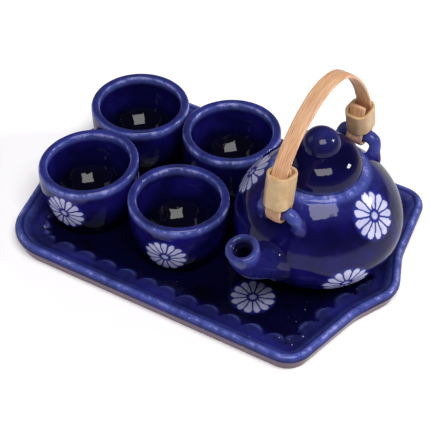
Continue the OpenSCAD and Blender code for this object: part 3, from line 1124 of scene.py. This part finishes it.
    def build_lug(self, side: int, node: str, glaze: CobaltGlaze) -> None:
        """Makes a lug: a level bar that bends down to two legs, which slant in to flared feet.

        Args:
            side: -1 for the lug over the spout, 1 for the rear one.
            node: The CAD node it stands for.
            glaze: Its finish.
        """
        leg, bend, foot = 4.9 * MM, 2.4 * MM, 8.2 * MM
        slant_per_mm = 0.45
        a = np.linspace(0, math.pi / 2, 14)
        down = np.stack([np.full(12, leg), np.linspace(-foot, -bend, 12, endpoint=False)], 1)
        curve = np.stack([leg - bend + bend * np.cos(a), -bend + bend * np.sin(a)], axis=1)
        half = np.vstack([down, curve])
        path = np.vstack([half, half[::-1] * np.array([-1, 1])])
        path = resample(path, 0.3 * MM)
        below = -path[:, 1]
        slant = slant_per_mm * np.clip(below - 1.0 * MM, 0, None)
        centres = np.stack([path[:, 0], side * (self.lug_out - slant),
                            self.lug_height + path[:, 1]], axis=1)
        radius = self.lug_bar + 1.0 * MM * smooth(below, 1.8 * MM, 5.5 * MM) ** 1.5
        rings = tube(centres, np.array([0.0, 1.0, 0.0]), radius, 36)
        bare = 0.5 * (1 - smooth(below, 0.5 * MM, 5 * MM))
        piece = lofted(f"{node}_glazed", self.place.put(rings),
                       thin=np.repeat(bare[:, None], rings.shape[1], 1))
        dress(piece, glaze.make(f"{node}_glaze", []), GLAZE, "teapot", node)


@dataclass
class Lid:
    """Domed lid with a flange that drops into the mouth, and a ball knob.

    Attributes:
        pot: The pot it closes.
        radius: Of the dome's rim.
        rise: Height of the dome.
        power: Power of the dome's superellipse.
        flange: Outer radius of the flange.
        flange_depth: How far it drops into the mouth.
        knob: Radius of the ball.
    """

    pot: Teapot
    radius: float = 10.3 * MM
    rise: float = 7.5 * MM
    power: float = 2.5
    flange: float = 8.1 * MM
    flange_depth: float = 2.4 * MM
    knob: float = 4.9 * MM

    def build(self, glaze: CobaltGlaze) -> None:
        """Makes the dome and the knob, which sits half sunk in the dome's crown.

        Args:
            glaze: Its finish.
        """
        base = self.pot.collar + 0.02 * MM
        inside = self.flange - 1.4 * MM
        under = quarter(inside, self.rise - 2.2 * MM, self.power, np.radians(np.linspace(88, 0, 26)))
        dome = quarter(self.radius, self.rise, self.power, np.radians(np.linspace(3, 88, 70)))
        skirt = np.array([
            [inside, -self.flange_depth], [inside + 0.3 * MM, -self.flange_depth],
            [self.flange - 0.3 * MM, -self.flange_depth], [self.flange, -self.flange_depth + 0.3 * MM],
            [self.flange, -0.05 * MM], [self.flange + 0.1 * MM, 0.0],
            [self.radius - 0.5 * MM, 0.0], [self.radius - 0.12 * MM, 0.12 * MM]])
        line = np.vstack([under, skirt, dome])
        line[:, 1] += base
        line = resample(line, 0.3 * MM)
        rings = turned(line, 168, 0.003, 2.1)
        edge = np.exp(-(((line[:, 1] - base) / MM - 0.45) / 0.5) ** 2) * (
            line[:, 0] > self.radius - 1.2 * MM)
        piece = lofted("lid_dome_glazed", self.pot.place.put(rings),
                       thin=np.repeat(0.6 * edge[:, None], rings.shape[1], 1),
                       pool=np.full(rings.shape[:2], 0.6))
        dress(piece, glaze.make("lid_glaze", []), GLAZE, "lid", "lid_dome")
        self.build_knob(glaze, base + self.rise - 0.5 * MM)

    def build_knob(self, glaze: CobaltGlaze, centre: float) -> None:
        """Makes the knob: a ball whose lower edge spreads where slip fills the joint.

        Args:
            glaze: Its finish.
            centre: Height of the ball's middle above the pot's foot.
        """
        a = np.radians(np.linspace(-6, 88, 60))
        ball = np.stack([self.knob * np.cos(a), centre + self.knob * np.sin(a)], axis=1)
        spread = np.array([[0.4, -1.6], [5.4, -1.6], [5.75, -0.95], [5.35, -0.62]]) * MM
        spread[:, 1] += centre
        line = resample(np.vstack([spread, ball]), 0.22 * MM)
        rings = turned(line, 120, 0.006, 4.0)
        thin = 0.10 * smooth(line[:, 1], centre + 1 * MM, centre + 4 * MM)
        piece = lofted("lid_knob_glazed", self.pot.place.put(rings),
                       thin=np.repeat(thin[:, None], rings.shape[1], 1))
        dress(piece, glaze.make("knob_glaze", []), GLAZE, "lid", "lid_knob")


class Sleeve(Enum):
    """The two sleeves, each as its side of the pot, its length and its CAD node."""

    FRONT = (-1, 9.0 * MM, "ferrule_front")
    REAR = (1, 6.0 * MM, "ferrule_rear")


@dataclass
class Bail:
    """Cane strip folded round both lugs, its ends held in waxy sleeves.

    Attributes:
        pot: The pot it hangs from.
        strip: Width of the cane.
        thick: Thickness of the cane.
        play: Gap between the cane's fold and the bar.
        side: Radius of the arch's two side arcs.
        side_turn: Turn of each side arc, before the crown's tighter arc.
        skew: How far the arch's top leans to the rear.
        tail_lean: How far the folded ends lean towards the arch.
        spare: Extra room in the sleeves on the pot's side.
        tail: How far the folded ends show past the sleeves.
        sleeve_gap: Gap between a bar's top and its sleeve.
        sleeve_wall: Thickness of the sleeves.
        lean_in: How far the sleeves lean towards the pot.
    """

    pot: Teapot
    strip: float = 4.2 * MM
    thick: float = 1.0 * MM
    play: float = 0.35 * MM
    side: float = 28.6 * MM
    side_turn: float = math.radians(56)
    skew: float = 2.4 * MM
    tail_lean: float = 1.3 * MM
    spare: float = 0.75 * MM
    tail: float = 1.2 * MM
    sleeve_gap: float = 0.6 * MM
    sleeve_wall: float = 0.85 * MM
    lean_in: float = math.radians(9)

    def fold(self) -> float:
        """Radius of the strip's middle line where it folds round a bar."""
        return self.pot.lug_bar + self.play + self.thick / 2

    def sleeve_foot(self) -> float:
        """Height of the sleeves' feet above the bars' middle."""
        return self.pot.lug_bar + self.sleeve_gap

    def path(self) -> Array:
        """The strip's middle line in the bail's plane, from the front end to the rear end.

        Down the folded front end, half round the front bar, over the arch of three arcs
        and the same down the other side; it turns the same way throughout. The arch leans
        to the rear by the cube of its height.

        Returns:
            Rows of (along, up) from the pot's axis and the bars' height.
        """
        s, r = self.pot.lug_out, self.fold()

        def arc(cx: float, cz: float, radius: float, start: float, stop: float) -> Array:
            """Points round (cx, cz) between two angles in degrees."""
            a = np.radians(np.linspace(start, stop, 40))
            return np.stack([cx + radius * np.cos(a), cz + radius * np.sin(a)], axis=1)

        turn = math.degrees(self.side_turn)
        shift = s + r - self.side
        crown = self.side + shift / math.cos(self.side_turn)
        rise = (self.side - crown) * math.sin(self.side_turn)
        ends = [self.sleeve_foot() + sleeve.value[1] + self.tail for sleeve in Sleeve]
        line = np.vstack([
            [[-s + r - self.tail_lean, ends[0]]], arc(-s, 0, r, 0, -180),
            arc(-shift, 0, self.side, 180, 180 - turn),
            arc(0, rise, crown, 180 - turn, turn), arc(shift, 0, self.side, turn, 0),
            arc(s, 0, r, 0, -180), [[s - r + 0.6 * self.tail_lean, ends[1]]]])
        height = np.clip(line[:, 1], 0, None) / (rise + crown)
        line[:, 0] += self.skew * height ** 3
        return resample(line, 0.3 * MM)

    def build_strip(self, cane: CaneSkin) -> None:
        """Makes the strip: a flat section with a crowned, fibrous skin, swept along its path.

        The section is a squared oval, (|x| / a)^5 + (|y| / b)^5 = 1, with shallow ridges
        cos(k x) on it; its width varies slowly and narrows where it is folded.

        Args:
            cane: Its finish.
        """
        path = self.path()
        ahead = np.gradient(path, axis=0)
        ahead /= np.linalg.norm(ahead, axis=1, keepdims=True)
        skin = np.stack([-ahead[:, 1], ahead[:, 0]], axis=1)
        run = np.concatenate([[0], np.cumsum(np.linalg.norm(np.diff(path, axis=0), axis=1))])
        around = 72
        a = np.linspace(0, 2 * math.pi, around, endpoint=False)
        c, s = np.cos(a), np.sin(a)
        x = np.sign(c) * np.abs(c) ** 0.45
        y = np.sign(s) * np.abs(s) ** 0.45
        low = smooth(-path[:, 1], -1.0 * MM, 2.2 * MM)
        width = self.strip / 2 * (1 - 0.16 * low + 0.018 * np.sin(run / (7 * MM))
                                  + 0.012 * np.sin(run / (2.6 * MM) + 1))
        half = self.thick / 2 * (1 + 0.05 * np.sin(run / (5 * MM)))
        ridges = 0.028 * MM * np.cos(9.5 * x * math.pi / 2)[None]
        slow = 0.02 * MM * np.sin(run[:, None] / (9 * MM) + 3 * x[None])
        depth = half[:, None] * y[None] * (1 - 0.16 * x[None] ** 2) + (ridges + slow) * y[None]
        middle = np.stack([0 * run, path[:, 0], self.pot.lug_height + path[:, 1]], axis=1)
        out = np.stack([0 * run, skin[:, 0], skin[:, 1]], axis=1)
        across = np.array([1.0, 0.0, 0.0])
        rings = (middle[:, None] + (width[:, None] * x[None])[..., None] * across
                 + depth[..., None] * out[:, None])
        grain = np.stack([np.repeat(run[:, None], around, 1),
                          width[:, None] * x[None] + 0.2 * depth + 0.01 * (y[None] > 0)], axis=2)
        piece = lofted("handle_strip_cane", self.pot.place.put(rings), grain=grain)
        dress(piece, cane.make("cane_skin"), "cane", "handle", "handle_strip")

    def build_sleeve(self, sleeve: Sleeve, wax: WaxyTube) -> None:
        """Makes a sleeve: a tube whose section is a rectangle with bevelled corners.

        The section's radius at angle a is the soft minimum of the rectangle's sides and the
        four bevels; rings run up the outside, over the top edge and back down the bore.

        Args:
            sleeve: Which of the two.
            wax: Its finish.
        """
        side, length, node = sleeve.value
        reach = self.fold() - self.thick / 2 - 0.25 * MM + self.spare
        out = self.fold() + self.thick / 2 + 0.2 * MM
        wall = self.sleeve_wall
        half_x = (self.strip + 0.5 * MM) / 2 + wall
        half_y = (reach + out) / 2 + wall
        shift = (out - reach) / 2
        a = np.linspace(0, 2 * math.pi, 96, endpoint=False)

        def section(inset: float, bevel: float, power: float) -> Array:
            """The section drawn in by inset; a larger bevel leaves squarer corners."""
            u = np.abs(np.cos(a)) / (half_x - inset)
            v = np.abs(np.sin(a)) / (half_y - inset)
            r = (u ** power + v ** power + ((u + v) / bevel) ** power) ** (-1 / power)
            return np.stack([r * np.cos(a), r * np.sin(a)], axis=1)

        outside, inside = section(0, 1.52, 16), section(wall, 1.72, 12)
        e = 0.22 * MM
        steps = [(0.0, e), (0.0, length - e), (0.12, length - 0.3 * e), (0.35, length),
                 (0.65, length), (0.9, length - 0.3 * e), (1.0, length - e), (1.0, e),
                 (0.9, 0.3 * e), (0.65, 0.0), (0.35, 0.0), (0.12, 0.3 * e)]
        line = resample(np.array([*steps, steps[0]]) * np.array([wall, 1]), 0.25 * MM)[:-1]
        share = (line[:, 0] / wall)[:, None, None]
        flat = outside[None] * (1 - share) + inside[None] * share
        z = np.repeat(line[:, 1:2], len(a), axis=1)
        sag = 1 + 0.015 * np.sin(z / (2.3 * MM) + 2 * a[None])
        x, y = flat[..., 0] * sag, flat[..., 1] * sag + shift
        c, s = math.cos(self.lean_in), math.sin(self.lean_in)
        y, z = c * y - s * z, s * y + c * z
        rings = np.stack([side * -x, side * (self.pot.lug_out + y),
                          self.pot.lug_height + self.sleeve_foot() + z], axis=2)
        piece = lofted(f"{node}_waxy", self.pot.place.put(rings), caps=False)
        dress(piece, wax.make(f"{node}_wax"), "sleeve", "handle", node)


# ---------------------------------------------------------------- the studio


@dataclass(frozen=True)
class Softbox:
    """A studio light: where it stands about the set, its size, and how bright its face is."""

    name: str
    azimuth: float
    elevation: float
    width: float
    height: float
    brightness: float
    tint: Colour = (1.0, 1.0, 1.0)
    distance: float = 1.0

    def light(self) -> None:
        """Hangs the light, which faces the middle of the set."""
        a, e = math.radians(self.azimuth), math.radians(self.elevation)
        away = np.array([math.sin(a) * math.cos(e), -math.cos(a) * math.cos(e), math.sin(e)])
        data = bpy.data.lights.new(self.name, "AREA")
        data.shape = "RECTANGLE"
        data.size, data.size_y = self.width, self.height
        data.energy = self.brightness * math.pi * self.width * self.height
        data.color = self.tint
        lamp = bpy.data.objects.new(self.name, data)
        lamp.location = tuple(away * self.distance)
        lamp.rotation_euler = (math.pi / 2 - e, 0, a)
        bpy.context.scene.collection.objects.link(lamp)


@dataclass(frozen=True)
class Viewpoint:
    """The camera: a long lens above and to the right of the front, in degrees and metres."""

    azimuth: float = 31.32
    elevation: float = 42.95
    distance: float = 0.48573
    lens: float = 157.4
    aim: Colour = (-0.00328, 0.00405, 0.0)

    def place(self) -> None:
        """Sets the scene's camera."""
        a, e = math.radians(self.azimuth), math.radians(self.elevation)
        away = np.array([math.sin(a) * math.cos(e), -math.cos(a) * math.cos(e), math.sin(e)])
        data = bpy.data.cameras.new("camera")
        data.lens, data.sensor_width = self.lens, 36.0
        data.clip_start, data.clip_end = 0.01, 20.0
        camera = bpy.data.objects.new("camera", data)
        camera.location = tuple(np.array(self.aim) + away * self.distance)
        camera.rotation_euler = (math.pi / 2 - e, 0, a)
        bpy.context.scene.collection.objects.link(camera)
        bpy.context.scene.camera = camera


@dataclass(frozen=True)
class Studio:
    """Pale floor, dim room and soft lights.

    Attributes:
        floor_size: Across the round floor.
        floor_colour: Near the set.
        far_colour: Away from it.
        horizon: The room's glow at the horizon.
        overhead: The room's glow above.
    """

    floor_size: float = 3.0
    floor_colour: Colour = (0.93, 0.925, 0.93)
    far_colour: Colour = (0.46, 0.43, 0.46)
    horizon: Colour = (0.26, 0.21, 0.25)
    overhead: Colour = (0.06, 0.06, 0.07)

    def build(self) -> None:
        """Lays the floor, sets the room's glow and hangs the lights."""
        half = self.floor_size / 2
        a = np.linspace(0, 2 * math.pi, 64, endpoint=False)
        r = np.linspace(0.02, 1, 12) ** 2 * half
        rings = np.stack([r[:, None] * np.cos(a), r[:, None] * np.sin(a),
                          np.full((len(r), len(a)), -0.02 * MM)], axis=2)
        low = rings[::-1].copy()
        low[..., 2] -= 5 * MM
        floor = lofted("floor", np.concatenate([low, rings[::-1]]))
        material, b, shader = new_finish("floor_paper")
        point = b.add("ShaderNodeTexCoord").outputs["Object"]
        shade = b.mix(b.noise(point, 25, 3, 0.5), self.floor_colour,
                      tuple(c * 0.985 for c in self.floor_colour))
        away = b.add("ShaderNodeVectorMath", operation="LENGTH")
        b.feed(away.inputs[0], point)
        shade = b.mix(b.ease(away.outputs["Value"], 0.11, 0.5), shade, self.far_colour)
        b.feed(shader.inputs["Base Color"], shade)
        shader.inputs["Roughness"].default_value = 0.9
        shader.inputs["Specular IOR Level"].default_value = 0.1
        b.feed(shader.inputs["Emission Color"], shade)
        shader.inputs["Emission Strength"].default_value = 0.3
        floor.data.materials.append(material)
        self.room()
        for box in (
            Softbox("key_softbox", 44, 63, 0.62, 0.46, 9.0, (1.0, 0.985, 0.98)),
            Softbox("side_lamp", 126, 29, 0.17, 0.17, 40.0, (1.0, 0.98, 0.95)),
            Softbox("fill_left", -72, 34, 0.45, 0.5, 1.2, (0.93, 0.95, 1.0)),
        ):
            box.light()

    def room(self) -> None:
        """Room light that is pale at the horizon and dark overhead."""
        world = bpy.data.worlds.new("room")
        world.use_nodes = True
        bpy.context.scene.world = world
        b = NodeBench(world.node_tree)
        up = b.add("ShaderNodeSeparateXYZ")
        b.feed(up.inputs[0], b.add("ShaderNodeTexCoord").outputs["Generated"])
        share = b.ease(up.outputs["Z"], 0.0, 0.35)
        glow = world.node_tree.nodes["Background"]
        b.feed(glow.inputs["Color"], b.mix(share, self.horizon, self.overhead))
        bpy.context.scene.view_settings.view_transform = "Standard"


# ---------------------------------------------------------------- the set


def lean_axis() -> float:
    """Turn of the teapot about its axis, from the bail's hinge in the record."""
    hinge = next(j for j in frame["joints"] if j["name"] == "handle_lean")
    return -math.atan2(hinge["axis"][0], hinge["axis"][1])


def main() -> None:
    """Builds the set, the studio and the camera."""
    logging.basicConfig(level=logging.INFO, format="%(name)s: %(message)s")
    Viewpoint().place()
    Studio().build()
    daisy_brush()
    glaze = CobaltGlaze()
    tray = Tray()
    on_floor = tray.floor
    tray.daisies = [
        Daisy((x * MM, y * MM, on_floor), (0, 0, 1), 5.5 * MM, 13, turn, 0.6)
        for x, y, turn in ((21.3, -18.5, 0.2), (-17.5, 1.2, 0.6), (30, 26, 0.9))
    ]
    tray.build(glaze)
    for cup in (
        Cup("cup_back_left", 0.4, daisy_at=math.radians(150)),
        Cup("cup_front_left", 1.9, 1.2 * MM, math.radians(30), math.radians(-87.7),
            8.4 * MM),
        Cup("cup_front_right", 3.1, daisy_at=math.radians(-74.4), daisy_height=7.0 * MM),
        Cup("cup_back_right", 5.2, daisy_at=math.radians(60), daisy_count=2),
    ):
        cup.build(glaze)
    pot = Teapot(Place.under("teapot_body", lean_axis()))
    pot.build_body(glaze, [
        pot.painted(math.radians(-5.3), 23.8 * MM, turn=0.3),
        pot.painted(math.radians(-35), 8.4 * MM, turn=0.1),
        pot.painted(math.radians(48), 13.0 * MM, turn=0.7),
        pot.painted(math.radians(130), 20.0 * MM, turn=0.4),
        pot.painted(math.radians(165), 9.0 * MM, turn=0.2),
        pot.painted(math.radians(-158), 24.0 * MM, turn=0.5, strength=0.7),
    ])
    pot.build_spout(glaze)
    pot.build_lug(-1, "lug_front", glaze)
    pot.build_lug(1, "lug_rear", glaze)
    Lid(pot).build(glaze)
    bail = Bail(pot)
    bail.build_strip(CaneSkin())
    for sleeve in Sleeve:
        bail.build_sleeve(sleeve, WaxyTube())


if __name__ == "__main__":
    main()
